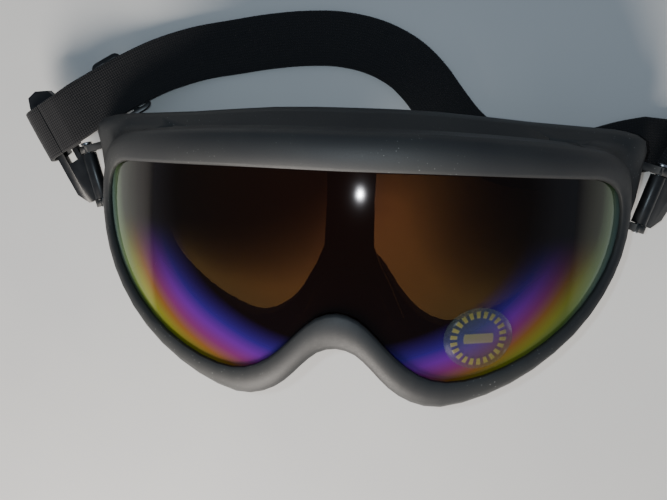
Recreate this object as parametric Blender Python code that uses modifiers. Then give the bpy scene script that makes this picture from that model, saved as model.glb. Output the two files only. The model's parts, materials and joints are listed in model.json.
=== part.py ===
"""Sports protective goggles, lying on their back with the lens up.

Lengths are in millimetres and become metres when a mesh is made. X runs along the wearer's eyes,
Y towards the brow and Z out of the lens. Z = 0 is the table under the temple foam.
"""

import math

import bmesh
import bpy
from mathutils import Matrix, Vector

MM = 0.001
GAP = 0.3  # air left between pieces that touch

# Where the middle of the whole object's footprint lies, measured from the middle of the goggles
FOOTPRINT_X = -1.254
FOOTPRINT_Y = 21.25

# Lens: a toric sheet, tightly curved across the face and gently from brow to cheek
LENS_R_ACROSS = 100.0
LENS_R_UPRIGHT = 200.0
LENS_APEX = 68.0
LENS_THICK = 1.5
LENS_INTO_GROOVE = 2.5
LENS_CENTRE = (0.0, 10.0)

# Rear flange that carries the foam: deep at the brow and nose, wrapped back to the temples
FLANGE_MIDDLE = 36.0
FLANGE_TEMPLE = 12.0
TEMPLE_X = 82.0  # beyond this the flange runs level
CORNER_LIFT = 6.0
CHEEK_DROP = 6.0
FLANGE_WIDTH = 6.5
FLANGE_THICK = 2.6
SHELL_WALL = 2.0

# Face foam
FOAM_THICK = 13.0
FOAM_WIDTH = 10.5
FOAM_INSET = 1.2
FOAM_STRAP_ROOM = 4.0
CORNER_GAP = 0.9  # more air under the flange where it twists round the upper corners

# Strap and its hardware
STRAP_WIDTH = 18.0
STRAP_THICK = 1.4
HINGE = (92.3, 19.0, 13.2)
HINGE_LEAN = math.radians(16.0)
KNUCKLE_HALF = 8.0
KNUCKLE_R = 2.4
EAR_R = 2.7
EAR_THICK = 2.4
EAR_ROOT_LOW = {-1: 12.6, 1: 14.6}  # each lug's root stays above the foam
EAR_REACH = 9.2
PIN_R = 1.0
PLATE_THICK = 2.2
PLATE_TILT = {"left": math.radians(8.0), "right": math.radians(34.0)}
STRAP_OVER = {"left": 1.0, "right": -1.0}  # the strap leaves over one plate and under the other
BAR_WIDTH = 3.0
SLOT_WIDTH = 4.0
STRAP_ON_BAR = 16.2  # from the bar's lower end to the middle of the strap

# Stations round the right half, from the middle of the brow to the middle of the nose: lens edge
# x, y, outer edge of the front face x, y, rear flange x, y, and depth of the recess in the wall
STATIONS = (
    (0.0, 28.0, 0.0, 38.0, 0.0, 44.6, 3.2),
    (24.0, 28.0, 24.0, 38.0, 24.0, 44.2, 3.2),
    (48.0, 27.4, 48.6, 37.0, 50.0, 42.2, 2.8),
    (66.0, 26.6, 67.6, 35.2, 72.0, 41.0, 1.6),
    (72.4, 25.8, 75.6, 33.2, 81.0, 40.2, 1.1),
    (77.0, 23.2, 81.4, 29.2, 87.6, 37.4, 0.6),
    (79.2, 19.4, 83.4, 22.8, 88.8, 30.0, 0.4),
    (79.8, 13.0, 83.8, 13.8, 88.0, 19.0, 0.3),
    (77.8, 4.0, 81.4, 3.2, 84.6, 6.0, 0.3),
    (72.3, -5.5, 75.8, -7.6, 78.6, -6.5, 0.6),
    (63.5, -14.5, 66.8, -18.2, 69.4, -17.6, 1.3),
    (52.0, -22.2, 54.6, -27.2, 56.5, -27.6, 1.7),
    (40.0, -27.0, 41.6, -33.2, 42.5, -33.6, 1.7),
    (30.0, -28.4, 29.0, -36.2, 29.0, -35.2, 1.2),
    (22.5, -26.2, 20.6, -34.4, 18.8, -30.5, 0.5),
    (16.0, -21.2, 14.4, -30.2, 12.8, -22.5, 0.0),
    (10.6, -15.4, 9.6, -25.0, 9.0, -15.0, 0.0),
    (5.6, -10.9, 5.1, -20.8, 4.8, -10.6, 0.0),
    (0.0, -9.2, 0.0, -19.3, 0.0, -9.4, 0.0),
)
STEPS = 2  # stations made between two of these
NOSE_STATION = len(STATIONS) - 1
CHEEK_VENTS = (10, 12.5)  # stations between which the cheek recess lies

# Bracket plate outline, measured along the hinge and away from it
PLATE_OUTLINE = (
    (-8.0, 0.0),
    (-8.5, 5.0),
    (-5.0, 8.6),
    (2.0, 10.5),
    (28.0, 17.0),
    (31.5, 16.5),
    (33.0, 13.0),
    (32.0, 8.0),
    (28.0, 5.2),
    (12.5, 4.0),
    (8.0, 2.6),
    (8.0, 0.0),
)
BAR_START = Vector((2.0, 10.5))
BAR_END = Vector((28.0, 17.0))

# Middle of the strap from the left bracket round to the right one, with its tilt in degrees
STRAP_LEFT_RUN = (
    (-95.6, 42.2, 14.6, 0.0),
    (-88.3, 47.4, 11.2, 0.0),
    (-80.0, 53.2, 7.4, 0.0),
    (-70.5, 59.0, 3.8, 4.0),
)
STRAP_ARC = (
    (-58.0, 64.4, 2.4, 9.0),
    (-45.0, 67.2, 2.6, 11.0),
    (-33.0, 69.2, 2.7, 12.0),
    (-21.0, 69.9, 2.7, 12.0),
    (-9.5, 69.2, 2.7, 12.0),
    (2.0, 66.2, 2.6, 11.0),
    (12.0, 61.0, 2.4, 9.0),
    (19.5, 54.2, 2.0, 7.0),
    (26.0, 46.2, 1.6, 4.0),
    (33.0, 38.4, 1.2, 0.0),
    (42.0, 32.0, 1.2, 0.0),
    (53.0, 28.8, 1.2, 0.0),
    (65.0, 28.8, 1.2, 0.0),
    (76.0, 31.4, 1.2, 0.0),
    (85.5, 34.4, 1.5, 0.0),
    (93.5, 36.2, 2.6, 0.0),
)


# ---------------------------------------------------------------- scene and materials


def clear_scene():
    for obj in list(bpy.data.objects):
        bpy.data.objects.remove(obj)


def collection(name):
    made = bpy.data.collections.new(name)
    bpy.context.scene.collection.children.link(made)
    return made


def material(name, colour, roughness, alpha=1.0):
    made = bpy.data.materials.new(name)
    made.use_nodes = True
    shader = made.node_tree.nodes["Principled BSDF"]
    shader.inputs["Base Color"].default_value = (*colour, 1.0)
    shader.inputs["Roughness"].default_value = roughness
    shader.inputs["Alpha"].default_value = alpha
    made.diffuse_color = (*colour, 1.0)
    return made


clear_scene()
GOGGLES = collection("sports_goggles")
CUTTERS = collection("cutters")
FRAME_PLASTIC = material("frame_plastic", (0.035, 0.036, 0.037), 0.55)
BRACKET_PLASTIC = material("bracket_plastic", (0.012, 0.012, 0.014), 0.35)
MIRROR_LENS = material("mirror_lens", (0.16, 0.06, 0.2), 0.05, 0.6)
FOAM = material("foam", (0.008, 0.008, 0.008), 0.95)
STRAP_WEBBING = material("strap_webbing", (0.010, 0.010, 0.012), 0.9)
PIN_STEEL = material("pin_steel", (0.45, 0.45, 0.47), 0.3)
CLEAR_FILM = material("clear_film", (0.35, 0.42, 0.45), 0.3, 0.5)

FOOTPRINT = bpy.data.objects.new("goggles_place", None)
FOOTPRINT.location = (-FOOTPRINT_X * MM, -FOOTPRINT_Y * MM, 0.0)
GOGGLES.objects.link(FOOTPRINT)


def place(obj, look, parent=FOOTPRINT):
    obj.data.materials.append(look)
    GOGGLES.objects.link(obj)
    obj.parent = parent
    return obj


def finished(name, bm, look, parent=FOOTPRINT, smooth=40.0):
    """Turns a bmesh in millimetres into a named piece in metres, its faces pointing out."""
    bmesh.ops.recalc_face_normals(bm, faces=bm.faces)
    bmesh.ops.scale(bm, vec=(MM, MM, MM), verts=bm.verts)
    mesh = bpy.data.meshes.new(name)
    bm.to_mesh(mesh)
    bm.free()
    mesh.shade_smooth()
    mesh.set_sharp_from_angle(angle=math.radians(smooth))
    return place(bpy.data.objects.new(name, mesh), look, parent)


def cutter(name, bm):
    bmesh.ops.recalc_face_normals(bm, faces=bm.faces)
    bmesh.ops.scale(bm, vec=(MM, MM, MM), verts=bm.verts)
    mesh = bpy.data.meshes.new(name)
    bm.to_mesh(mesh)
    bm.free()
    obj = bpy.data.objects.new(name, mesh)
    CUTTERS.objects.link(obj)
    obj.parent = FOOTPRINT
    obj.hide_render = True
    obj.display_type = "WIRE"
    return obj


def boolean(obj, other, operation):
    step = obj.modifiers.new(other.name, "BOOLEAN")
    step.operation = operation
    step.object = other


# ---------------------------------------------------------------- curves and lofts


def catmull(a, b, c, d, t):
    return tuple(
        0.5
        * (2 * q + (r - p) * t + (2 * p - 5 * q + 4 * r - s) * t * t + (3 * q - p - 3 * r + s) * t**3)
        for p, q, r, s in zip(a, b, c, d)
    )


def smooth_loop(rows, steps):
    """Rows round a closed loop, with steps - 1 smooth ones added between each two."""
    count = len(rows)
    return [
        catmull(rows[i - 1], rows[i], rows[(i + 1) % count], rows[(i + 2) % count], k / steps)
        for i in range(count)
        for k in range(steps)
    ]


def smooth_path(rows, steps):
    """The same for a path with two ends."""
    padded = [rows[0], *rows, rows[-1]]
    made = [
        catmull(padded[i - 1], padded[i], padded[i + 1], padded[i + 2], k / steps)
        for i in range(1, len(padded) - 2)
        for k in range(steps)
    ]
    return [*made, rows[-1]]


def loft(rings, around=True):
    """A closed body from rings of points: a torus when around, else a bar with two end caps."""
    bm = bmesh.new()
    made = [[bm.verts.new(p) for p in ring] for ring in rings]
    pairs = list(zip(made, made[1:] + made[:1] if around else made[1:]))
    for one, two in pairs:
        for i in range(len(one)):
            j = (i + 1) % len(one)
            bm.faces.new((one[i], one[j], two[j], two[i]))
    if not around:
        bm.faces.new(made[0])
        bm.faces.new(made[-1])
    return bm


def ease(value, start, end):
    t = min(max((value - start) / (end - start), 0.0), 1.0)
    return t * t * (3 - 2 * t)


# ---------------------------------------------------------------- the face and lens surfaces


def lens_z(x, y):
    return LENS_APEX - LENS_R_ACROSS + math.sqrt(LENS_R_ACROSS**2 - x * x) - y * y / (2 * LENS_R_UPRIGHT)


def flange_z(x, y):
    reach = min(abs(x) / TEMPLE_X, 1.0)
    deep = FLANGE_MIDDLE - (FLANGE_MIDDLE - FLANGE_TEMPLE) * reach**2.2
    return deep + CORNER_LIFT * ease(y, 26, 40) * reach**4 - CHEEK_DROP * ease(-y, 10, 34)


def full_loop():
    """Stations round the whole goggles, each with the way out across the front face."""
    left = [(-x, y, -a, b, -u, v, r) for x, y, a, b, u, v, r in reversed(STATIONS[1:-1])]
    rows = smooth_loop([*STATIONS, *left], STEPS)
    return [(row, Vector((row[2] - row[0], row[3] - row[1])).normalized()) for row in rows]


def lens_axes(x, y, out):
    """Directions down the lens surface towards out and up from it, as (plan, height) pairs.

    The first is a unit vector. The second is long enough to rise one millimetre square to the lens.
    """
    slope_x = -x / math.sqrt(LENS_R_ACROSS**2 - x * x)
    slope_y = -y / LENS_R_UPRIGHT
    slope = slope_x * out.x + slope_y * out.y
    size = math.hypot(1, slope)
    rise = math.sqrt(1 + slope_x**2 + slope_y**2) / size
    return (1 / size, slope / size), (-slope / size * rise, rise / size)


def section(row, out):
    """The frame's cross-section at one station, as named points."""
    x, y, face_x, face_y, fx, fy, recess = row
    along, up = lens_axes(x, y, out)
    band = math.hypot(face_x - x, face_y - y) / along[0]
    high = lens_z(x, y)

    def front(a, b):
        plan = a * along[0] + b * up[0]
        return Vector((x + out.x * plan, y + out.y * plan, high + a * along[1] + b * up[1]))

    low = flange_z(fx, fy)

    def rear(a, b):
        return Vector((fx + out.x * a, fy + out.y * a, low + b))

    top, foot = front(band + 0.3, -1.4), rear(-0.3, FLANGE_THICK + 0.8)
    inward = Vector((-out.x, -out.y, 0.0))

    def wall(t, depth):
        return top.lerp(foot, t) + inward * depth

    # The recess floor is level with the wall at both ends and sinks between them
    return {
        "lip": front(0.0, 1.3),
        "crown_in": front(0.8, 2.0),
        "crown": front(band * 0.5, 2.3),
        "crown_out": front(band - 1.6, 1.7),
        "edge": front(band, 0.3),
        "wall_top": top,
        "recess_top": wall(0.16, 0.0),
        "floor_top": wall(0.24, recess),
        "floor_foot": wall(0.72, recess),
        "recess_foot": wall(0.82, 0.0),
        "flange_top": rear(0.0, FLANGE_THICK),
        "flange_out": rear(0.0, 0.4),
        "flange_rear": rear(-0.4, 0.0),
        "flange_in": rear(-FLANGE_WIDTH, 0.0),
        "flange_step": rear(-FLANGE_WIDTH, FLANGE_THICK - 0.4),
        "inner_foot": wall(0.70, recess + SHELL_WALL + 0.6),
        "inner_top": wall(0.26, recess + SHELL_WALL + 0.6),
        "seat_out": front(2.0, -4.2),
        "seat_in": front(0.0, -3.6),
        "groove_low": front(0.0, -1.9),
        "groove_low_out": front(3.0, -1.9),
        "groove_high_out": front(3.0, GAP),
        "groove_high": front(0.0, GAP),
    }


LOOP = full_loop()
SECTIONS = [section(row, out) for row, out in LOOP]


def station_at(half_index):
    """Loop index of a station of STATIONS on the right half."""
    return int(round(half_index * STEPS))


# ---------------------------------------------------------------- hinges


class Hinge:
    """One bracket's own axes: along its pin, away from the goggles, and square to its plate."""

    def __init__(self, side):
        self.side = side
        sign = -1.0 if side == "left" else 1.0
        tilt = PLATE_TILT[side]
        self.middle = Vector((sign * HINGE[0], HINGE[1], HINGE[2]))
        self.pin = Vector((sign * math.sin(HINGE_LEAN), math.cos(HINGE_LEAN), 0.0))
        level = Vector((sign * math.cos(HINGE_LEAN), -math.sin(HINGE_LEAN), 0.0))
        self.level = level
        self.away = level * math.cos(tilt) - Vector((0, 0, math.sin(tilt)))
        self.up = level * math.sin(tilt) + Vector((0, 0, math.cos(tilt)))
        self.bar_way = (BAR_END - BAR_START).normalized()
        self.bar_out = Vector((-self.bar_way.y, self.bar_way.x))

    def at(self, along, away, up=0.0):
        return self.middle + self.pin * along + self.away * away + self.up * up

    def on_bar(self, s, out, up):
        """A point s along the bar, out past its middle and up from it."""
        flat = BAR_START + self.bar_way * s + self.bar_out * (out - BAR_WIDTH / 2)
        return self.at(flat.x, flat.y, up)


HINGES = {side: Hinge(side) for side in ("left", "right")}


def pin_matrix(hinge, along):
    """A frame whose Z runs along the hinge pin, for a cylinder centred at that distance."""
    z = hinge.pin
    x = hinge.level
    y = z.cross(x)
    turn = Matrix((x, y, z)).transposed().to_4x4()
    return Matrix.Translation(hinge.at(along, 0.0)) @ turn


def cylinder(bm, radius, depth, matrix, segments=24):
    bmesh.ops.create_cone(
        bm, cap_ends=True, segments=segments, radius1=radius, radius2=radius, depth=depth, matrix=matrix
    )


def ear(hinge, sign):
    """A lug on the flange that holds one end of the pin."""
    along = sign * (KNUCKLE_HALF + GAP + EAR_THICK / 2)
    bm = bmesh.new()
    cylinder(bm, EAR_R, EAR_THICK, pin_matrix(hinge, along))
    round_end = cutter(f"ear_round_{hinge.side}_{along:.0f}", bm)
    bm = bmesh.new()
    low = EAR_ROOT_LOW[sign] - HINGE[2]
    high = EAR_R - 0.2
    size = Matrix.Diagonal((EAR_REACH, high - low, EAR_THICK - 0.02, 1.0))
    centre = Matrix.Translation((-EAR_REACH / 2, (high + low) / 2 * hinge_up_sign(hinge), 0.0))
    bmesh.ops.create_cube(bm, size=1.0, matrix=pin_matrix(hinge, along) @ centre @ size)
    root = cutter(f"ear_root_{hinge.side}_{along:.0f}", bm)
    return round_end, root


def hinge_up_sign(hinge):
    """Which way the pin frame's Y points: up on one side and down on the other."""
    return 1.0 if hinge.pin.cross(hinge.level).z > 0 else -1.0


# ---------------------------------------------------------------- pieces


def make_frame_shell():
    rings = [list(points.values()) for points in SECTIONS]
    shell = finished("frame_shell", loft(rings), FRAME_PLASTIC)
    boolean(shell, make_vent_cutter(), "DIFFERENCE")
    for hinge in HINGES.values():
        for sign in (-1, 1):
            for lug in ear(hinge, sign):
                boolean(shell, lug, "UNION")
        bm = bmesh.new()
        cylinder(bm, PIN_R + GAP, 2 * KNUCKLE_HALF + 12, pin_matrix(hinge, 0.0), 16)
        boolean(shell, cutter(f"pin_hole_{hinge.side}", bm), "DIFFERENCE")
    return shell


def vent_box(bm, points, out, length, height):
    """A box across the wall, centred in the recess at one station."""
    middle = points["floor_top"].lerp(points["floor_foot"], 0.5)
    down = (points["floor_foot"] - points["floor_top"]).normalized()
    across = Vector((-out.y, out.x, 0.0))
    through = across.cross(down).normalized()
    turn = Matrix((across, down, through)).transposed().to_4x4()
    size = Matrix.Diagonal((length, height, 9.0, 1.0))
    bmesh.ops.create_cube(bm, size=1.0, matrix=Matrix.Translation(middle) @ turn @ size)


def make_vent_cutter():
    """Air slots: nine through the brow recess and four through each cheek recess."""
    bm = bmesh.new()
    brow_at = (0.0, 0.5, 1.0, 1.5, 2.0, 2.5)
    cheek_at = (10.0, 10.5, 11.0, 11.5, 12.0)
    for index in brow_at + cheek_at:
        number = station_at(index)
        length, height = (8.6, 4.4) if index < NOSE_STATION / 2 else (3.6, 3.0)
        for side in {number, -number % len(LOOP)}:
            vent_box(bm, SECTIONS[side], LOOP[side][1], length, height)
    return cutter("vent_slots", bm)


def make_lens():
    """Rings that shrink towards a point between the eyes, given their thickness by Solidify."""
    rim = []
    for (x, y, *_), out in LOOP:
        along, _ = lens_axes(x, y, out)
        reach = LENS_INTO_GROOVE * along[0]
        rim.append(Vector((x + out.x * reach, y + out.y * reach)))
    middle = Vector(LENS_CENTRE)
    bm = bmesh.new()
    rings = []
    for share in (1.0, 0.97, 0.86, 0.72, 0.57, 0.42, 0.27, 0.13):
        flat = [middle.lerp(p, share) for p in rim]
        rings.append([bm.verts.new((p.x, p.y, lens_z(p.x, p.y))) for p in flat])
    for outer, inner in zip(rings, rings[1:]):
        for i in range(len(outer)):
            j = (i + 1) % len(outer)
            bm.faces.new((outer[i], outer[j], inner[j], inner[i]))
    hub = bm.verts.new((middle.x, middle.y, lens_z(middle.x, middle.y)))
    for i in range(len(rings[-1])):
        bm.faces.new((rings[-1][i], rings[-1][(i + 1) % len(rings[-1])], hub))
    lens = finished("lens", bm, MIRROR_LENS)
    if lens.data.polygons[0].normal.z < 0:
        lens.data.flip_normals()
    wall = lens.modifiers.new("wall", "SOLIDIFY")
    wall.thickness = LENS_THICK * MM
    wall.offset = -1.0
    return lens


def foam_floor(x, y):
    """Height of the foam's face side: flat on the table at the temples, higher over the strap."""
    return max(0.0, flange_z(x, y) - GAP - FOAM_THICK) + FOAM_STRAP_ROOM * ease(y, 8, 15) * ease(abs(x), 50, 74)


def make_face_foam():
    rings = []
    for (_, _, _, _, fx, fy, _), out in LOOP:
        top = flange_z(fx, fy) - GAP - CORNER_GAP * ease(fy, 18, 28) * ease(abs(fx), 66, 80)

        def at(inward, height):
            return Vector((fx - out.x * inward, fy - out.y * inward, height))

        a, b = FOAM_INSET, FOAM_INSET + FOAM_WIDTH
        low_out = foam_floor(fx - out.x * a, fy - out.y * a)
        low_in = foam_floor(fx - out.x * b, fy - out.y * b)
        low = min(low_out, low_in)
        rings.append(
            [
                at(a, top),
                at(a, low + 3.0),
                at(a + 1.2, low + 0.8),
                at(a + 3.0, low),
                at(b - 3.0, low),
                at(b - 1.2, low + 0.8),
                at(b, low + 3.0),
                at(b, top),
            ]
        )
    return finished("face_foam", loft(rings), FOAM)


def make_vent_foam(name, first, last):
    """A strip of open foam behind one row of air slots."""
    thick = 2.4
    rings = []
    for number in range(first, last + 1):
        points, out = SECTIONS[number % len(LOOP)], LOOP[number % len(LOOP)][1]
        inward = Vector((-out.x, -out.y, 0.0))
        top, foot = points["inner_top"], points["inner_foot"]
        near = [top.lerp(foot, share) + inward * 2 * GAP for share in (0.1, 0.9)]
        rings.append([near[0], near[1], near[1] + inward * thick, near[0] + inward * thick])
    return finished(name, loft(rings, around=False), FOAM)


def make_nose_brace():
    """An upright between brow and nose, seen dark behind the lens, spreading over the nose."""
    low, high = 39.4, 41.6
    clear = 1.2
    foot = []
    for index in range(NOSE_STATION, NOSE_STATION - 4, -1):
        points = SECTIONS[station_at(index)]
        step, inner = points["flange_step"], points["inner_foot"]
        near = step.lerp(inner, min(max((low - step.z) / (inner.z - step.z), 0.0), 1.0))
        foot.append(Vector((near.x, near.y + clear)))
    right = [
        Vector((7.4, brow_inner(high) - clear)),
        Vector((7.0, 18.0)),
        Vector((7.4, 4.0)),
        Vector((9.6, -1.5)),
        Vector((12.6, -7.0)),
        Vector((foot[-1].x + 3.6, foot[-1].y + 0.4)),
        *reversed(foot[1:]),
    ]
    outline = [*right, foot[0], *[Vector((-p.x, p.y)) for p in reversed(right)]]
    bm = bmesh.new()
    face = bm.faces.new([bm.verts.new((p.x, p.y, low)) for p in outline])
    made = bmesh.ops.extrude_face_region(bm, geom=[face])
    top = [v for v in made["geom"] if isinstance(v, bmesh.types.BMVert)]
    bmesh.ops.translate(bm, vec=(0, 0, high - low), verts=top)
    return finished("nose_brace", bm, FRAME_PLASTIC)


def brow_inner(height):
    """How far up the inside of the brow wall is at the middle, at that height."""
    points = SECTIONS[0]
    top, foot = points["inner_top"], points["inner_foot"]
    share = (height - top.z) / (foot.z - top.z)
    return top.lerp(foot, min(max(share, 0.0), 1.0)).y


def outline_prism(outline, hinge, thick):
    """A flat outline in the bracket's own axes, made into a plate."""
    bm = bmesh.new()
    low = [bm.verts.new(hinge.at(p[0], p[1], -thick / 2)) for p in outline]
    face = bm.faces.new(low)
    made = bmesh.ops.extrude_face_region(bm, geom=[face])
    top = [v for v in made["geom"] if isinstance(v, bmesh.types.BMVert)]
    bmesh.ops.translate(bm, vec=hinge.up * thick, verts=top)
    return bm


def make_bracket(hinge):
    plate = finished(f"bracket_{hinge.side}", outline_prism(PLATE_OUTLINE, hinge, PLATE_THICK), BRACKET_PLASTIC)
    bm = bmesh.new()
    cylinder(bm, KNUCKLE_R, 2 * KNUCKLE_HALF, pin_matrix(hinge, 0.0))
    boolean(plate, cutter(f"knuckle_{hinge.side}", bm), "UNION")
    bm = bmesh.new()
    cylinder(bm, PIN_R + GAP, 2 * KNUCKLE_HALF + 4, pin_matrix(hinge, 0.0), 16)
    boolean(plate, cutter(f"knuckle_hole_{hinge.side}", bm), "DIFFERENCE")
    long = (BAR_END - BAR_START).length
    near, far = -BAR_WIDTH / 2, -BAR_WIDTH / 2 - SLOT_WIDTH
    bm = bmesh.new()
    flat = [(3.4, near), (long - 1.0, near), (long - 1.0, far), (3.4, far)]
    low = [bm.verts.new(hinge.on_bar(s, out, -3.0)) for s, out in flat]
    made = bmesh.ops.extrude_face_region(bm, geom=[bm.faces.new(low)])
    top = [v for v in made["geom"] if isinstance(v, bmesh.types.BMVert)]
    bmesh.ops.translate(bm, vec=hinge.up * 6.0, verts=top)
    boolean(plate, cutter(f"strap_slot_{hinge.side}", bm), "DIFFERENCE")
    return plate


def make_pin(hinge):
    bm = bmesh.new()
    long = 2 * (KNUCKLE_HALF + GAP + EAR_THICK)
    cylinder(bm, PIN_R, long + 0.8, pin_matrix(hinge, 0.0), 16)
    pin = finished(f"hinge_pin_{hinge.side}", bm, PIN_STEEL)
    bm = bmesh.new()
    cylinder(bm, 1.8, 0.8, pin_matrix(hinge, long / 2 + GAP + 0.4), 20)
    boolean(pin, cutter(f"pin_head_{hinge.side}", bm), "UNION")
    return pin


def band(centres, widths, normals, thick=STRAP_THICK):
    """A flat band through centres, with its width and thickness directions at each."""
    rings = []
    for centre, wide, square in zip(centres, widths, normals):
        w, t = wide.normalized() * (STRAP_WIDTH / 2), square.normalized() * (thick / 2)
        rings.append([centre - w - t, centre + w - t, centre + w + t, centre - w + t])
    return loft(rings, around=False)


# The strap's way round the bar, as (out, up) from the middle of the bar
TURN = (
    (-3.7, 3.8),
    (-1.2, 3.9),
    (1.4, 3.4),
    (3.0, 1.8),
    (3.3, 0.0),
    (2.5, -1.9),
    (0.4, -2.6),
    (-1.7, -2.3),
    (-3.0, -0.9),
    (-4.1, 0.9),
    (-5.5, 2.2),
    (-7.2, 2.2),
)


def make_turn(hinge):
    """The strap's turn round the bracket's bar, up through the slot."""
    path = smooth_path(TURN, 2)
    over = STRAP_OVER[hinge.side]
    centres = [hinge.on_bar(STRAP_ON_BAR, out, up * over) for out, up in path]
    wide = hinge.pin * hinge.bar_way.x + hinge.away * hinge.bar_way.y
    normals = []
    for i in range(len(centres)):
        ahead = centres[min(i + 1, len(centres) - 1)] - centres[max(i - 1, 0)]
        normals.append(ahead.cross(wide))
    return finished(f"strap_turn_{hinge.side}", band(centres, [wide] * len(centres), normals), STRAP_WEBBING)


def strap_end(hinge, up, out):
    """The strap's middle, width and thickness directions above the bracket plate."""
    wide = hinge.pin * hinge.bar_way.x + hinge.away * hinge.bar_way.y
    return hinge.on_bar(STRAP_ON_BAR, out, up * STRAP_OVER[hinge.side]), wide, hinge.up


def free_run(rows, steps):
    """Centres and directions of the strap where it lies free, tilted towards the inside of its curve."""
    path = smooth_path(rows, steps)
    made = []
    for i, (x, y, z, tilt) in enumerate(path):
        before, after = path[max(i - 1, 0)], path[min(i + 1, len(path) - 1)]
        along = Vector((after[0] - before[0], after[1] - before[1], after[2] - before[2])).normalized()
        wide = Vector((-along.y, along.x, 0.0)).normalized()
        square = along.cross(wide)
        turn = Matrix.Rotation(math.radians(tilt), 3, along)
        made.append((Vector((x, y, z)), turn @ wide, turn @ square))
    return made


def make_strap_main():
    left, right = HINGES["left"], HINGES["right"]
    start = [strap_end(left, 3.8, out) for out in (-4.0, -7.5, -10.5)]
    end = [strap_end(right, 3.8, -4.0)]
    middle = free_run([*STRAP_LEFT_RUN, *STRAP_ARC], 2)
    rows = [*start, *middle, *end]
    centres = [r[0] for r in rows]
    widths = []
    for _, wide, _ in rows:
        if widths and wide.dot(widths[-1]) < 0:
            wide = -wide
        widths.append(wide)
    normals = []
    for _, _, square in rows:
        if square.z < 0:
            square = -square
        normals.append(square)
    return finished("strap_main", band(centres, widths, normals), STRAP_WEBBING)


def make_return(hinge, far):
    """The short lower layer that comes back under the strap from the bracket's slot."""
    rows = [strap_end(hinge, 2.2, out) for out in (-7.5, -9.5)]
    rows.append(strap_end(hinge, 2.2, far))
    return finished(
        f"strap_return_{hinge.side}",
        band([r[0] for r in rows], [r[1] for r in rows], [r[2] for r in rows]),
        STRAP_WEBBING,
    )


SLIDER_WIDE = 22.0
SLIDER_THICK = 1.8
SLIDER_BELOW = 0.7  # air between the strap and the slider


def slider_frame():
    """Middle and axes of the slider under the strap's left run: along, across and up."""
    one, two = Vector(STRAP_LEFT_RUN[1][:3]), Vector(STRAP_LEFT_RUN[2][:3])
    along = (two - one).normalized()
    across = Vector((-along.y, along.x, 0.0)).normalized()
    up = along.cross(across)
    return one.lerp(two, 0.5) - up * (STRAP_THICK / 2 + SLIDER_BELOW + SLIDER_THICK / 2), along, across, up


def make_slider():
    """A slide buckle: an oblong plate with two slots and a middle bar."""
    centre, along, across, up = slider_frame()
    turn = Matrix.Translation(centre) @ Matrix((along, across, up)).transposed().to_4x4()
    bm = bmesh.new()
    bmesh.ops.create_cube(bm, size=1.0, matrix=turn @ Matrix.Diagonal((11.0, SLIDER_WIDE, SLIDER_THICK, 1.0)))
    corners = [e for e in bm.edges if abs((e.verts[0].co - e.verts[1].co).normalized().dot(up)) > 0.9]
    bmesh.ops.bevel(bm, geom=corners, offset=2.2, segments=3, affect="EDGES", profile=0.5)
    slider = finished("strap_slider", bm, BRACKET_PLASTIC)
    bm = bmesh.new()
    for side in (-1, 1):
        slot = Matrix.Translation((side * 2.3, 0, 0)) @ Matrix.Diagonal((2.6, 18.8, 5.0, 1.0))
        bmesh.ops.create_cube(bm, size=1.0, matrix=turn @ slot)
    boolean(slider, cutter("slider_slots", bm), "DIFFERENCE")
    return slider


LABEL_AT = (38.0, -16.0)
LABEL_R = 9.5


def make_label():
    """A round clear film on the front of the lens."""
    bm = bmesh.new()
    rings = []
    for share in (1.0, 0.6, 0.25):
        ring = []
        for i in range(32):
            turn = 2 * math.pi * i / 32
            x = LABEL_AT[0] + LABEL_R * share * math.cos(turn)
            y = LABEL_AT[1] + LABEL_R * share * math.sin(turn) * 0.92
            ring.append(bm.verts.new((x, y, lens_z(x, y) + 0.55)))
        rings.append(ring)
    for outer, inner in zip(rings, rings[1:]):
        for i in range(32):
            j = (i + 1) % 32
            bm.faces.new((outer[i], outer[j], inner[j], inner[i]))
    bm.faces.new(rings[-1])
    label = finished("lens_label", bm, CLEAR_FILM)
    if label.data.polygons[0].normal.z < 0:
        label.data.flip_normals()
    wall = label.modifiers.new("film", "SOLIDIFY")
    wall.thickness = 0.2 * MM
    wall.offset = -1.0
    return label


make_frame_shell()
make_lens()
make_face_foam()
make_vent_foam("brow_vent_foam", -station_at(2.75), station_at(2.75))
make_vent_foam("cheek_vent_foam_right", station_at(CHEEK_VENTS[0]), station_at(CHEEK_VENTS[1]))
make_vent_foam("cheek_vent_foam_left", -station_at(CHEEK_VENTS[1]), -station_at(CHEEK_VENTS[0]))
make_nose_brace()
for each in HINGES.values():
    make_bracket(each)
    make_pin(each)
    make_turn(each)
    make_return(each, -10.5)
make_strap_main()
make_slider()
make_label()
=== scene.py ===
# %% [markdown]
# # Sports goggles, lying on their back
#
# The goggles are worn for ball games and workshops: a curved mirrored lens in a moulded frame,
# a ring of soft foam behind it, two hinged brackets and an elastic strap. The measured parts come
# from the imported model, and this lesson gives them their surfaces. Lengths are in metres, so MM
# turns a number of millimetres into the scene's unit.

# %% Load the measured parts
import json
import math

import bpy
from mathutils import Matrix, Vector

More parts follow.
